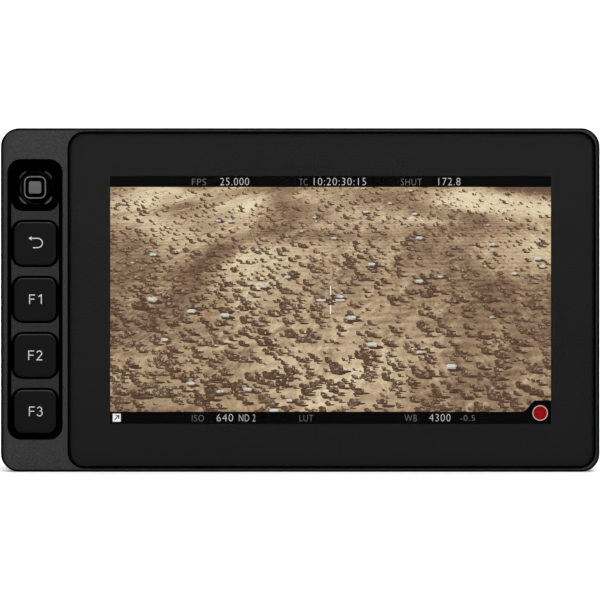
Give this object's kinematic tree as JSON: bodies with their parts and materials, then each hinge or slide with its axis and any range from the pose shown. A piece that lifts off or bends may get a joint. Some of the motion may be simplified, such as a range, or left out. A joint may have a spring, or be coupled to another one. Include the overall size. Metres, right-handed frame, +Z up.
{
  "type": "camera field monitor",
  "caption": "Five inch camera-top field monitor: dark metal housing, flush glass screen, thumb stick and square function keys in a recess at its left, tripod threads, video jacks behind.",
  "frame": {"origin": "centre of the bottom tripod thread's mouth, on the underside of the housing", "axes": "+X to the right as seen from the front, -Y out of the screen towards the viewer, +Z up"},
  "size_m": [0.1502, 0.0375, 0.0865],
  "materials": {
    "coated_frame": "fine dark grey powder coat",
    "coated_cover": "fine dark grey powder coat",
    "seal_rubber": "matt black",
    "screw_steel": "black oxide",
    "cover_glass": "clear with a black printed border",
    "screen": "lit display",
    "backlight": "white diffuser",
    "flex_film": "amber film",
    "chassis_metal": "bare, brushed",
    "brass": "turned",
    "circuit_board": "green solder mask",
    "chip_black": "moulded black",
    "thermal_pad": "soft grey-blue pad",
    "key_rubber": "matt black key with light legend",
    "plunger_plastic": "natural",
    "bezel_plastic": "dark grey",
    "stick_metal": "bare",
    "stick_black": "matt black",
    "cap_plastic": "grey edges on black",
    "insert_steel": "stainless",
    "socket_metal": "nickel plate",
    "socket_black": "moulded black",
    "jack_nickel": "nickel plate",
    "insulator": "white fluoropolymer"
  },
  "bodies": {
    "housing": {"front_frame": "coated_frame", "rear_cover": "coated_cover", "housing_seal": "seal_rubber", "housing_screws": "screw_steel", "cover_glass": "cover_glass", "glass_seal": "seal_rubber", "lcd_panel": "screen", "backlight_unit": "backlight", "display_flex": "flex_film", "chassis_plate": "chassis_metal", "chassis_screws": "screw_steel", "board_standoffs": "brass", "board_screws": "screw_steel", "main_board": "circuit_board", "board_chips": "chip_black", "thermal_pad": "thermal_pad", "key_board": "circuit_board", "key_board_screws": "screw_steel", "key_switches": "chip_black", "key_flex": "flex_film", "joystick_bezel": "bezel_plastic", "joystick_base": "stick_metal", "power_switch": "chip_black", "bottom_thread_insert": "insert_steel", "top_thread_insert": "insert_steel", "hdmi_socket": "socket_metal", "hdmi_tongue": "socket_black", "usb_socket": "socket_metal", "usb_tongue": "socket_black", "headphone_jack": "socket_black", "dc_socket": "socket_black", "dc_pin": "socket_metal", "card_socket": "socket_metal", "sdi_in_jack": "jack_nickel", "sdi_out_jack": "jack_nickel", "sdi_insulators": "insulator", "sdi_contacts": "brass", "sdi_nuts": "jack_nickel"},
    "back_key_body": {"back_key": "key_rubber", "back_plunger": "plunger_plastic"},
    "f1_key_body": {"f1_key": "key_rubber", "f1_plunger": "plunger_plastic"},
    "f2_key_body": {"f2_key": "key_rubber", "f2_plunger": "plunger_plastic"},
    "f3_key_body": {"f3_key": "key_rubber", "f3_plunger": "plunger_plastic"},
    "stick_gimbal": {"joystick_gimbal": "stick_metal"},
    "stick_stem": {"joystick_stem": "stick_black"},
    "stick_cap": {"joystick_cap": "cap_plastic"},
    "power_button_body": {"power_button": "stick_black"}
  },
  "joints": [
    {"name": "back_key_press", "type": "slide", "parent": "housing", "child": "back_key_body", "axis": [0, 1, 0], "range_m": [0, 0.0006], "stiffness_N_per_m": 1500},
    {"name": "f1_key_press", "type": "slide", "parent": "housing", "child": "f1_key_body", "axis": [0, 1, 0], "range_m": [0, 0.0006], "stiffness_N_per_m": 1500},
    {"name": "f2_key_press", "type": "slide", "parent": "housing", "child": "f2_key_body", "axis": [0, 1, 0], "range_m": [0, 0.0006], "stiffness_N_per_m": 1500},
    {"name": "f3_key_press", "type": "slide", "parent": "housing", "child": "f3_key_body", "axis": [0, 1, 0], "range_m": [0, 0.0006], "stiffness_N_per_m": 1500},
    {"name": "stick_tilt_up_down", "type": "hinge", "parent": "housing", "child": "stick_gimbal", "pos_m": [-0.0665, -0.0076, 0.07135], "axis": [1, 0, 0], "range_deg": [-6, 6], "stiffness_Nm_per_rad": 0.16},
    {"name": "stick_tilt_left_right", "type": "hinge", "parent": "stick_gimbal", "child": "stick_stem", "pos_m": [-0.0665, -0.0076, 0.07135], "axis": [0, 0, 1], "range_deg": [-6, 6], "stiffness_Nm_per_rad": 0.16},
    {"name": "stick_press", "type": "slide", "parent": "stick_stem", "child": "stick_cap", "axis": [0, 1, 0], "range_m": [0, 0.0003], "stiffness_N_per_m": 3000},
    {"name": "power_button_press", "type": "slide", "parent": "housing", "child": "power_button_body", "axis": [0, 0, -1], "range_m": [0, 0.0004], "stiffness_N_per_m": 3000}
  ]
}
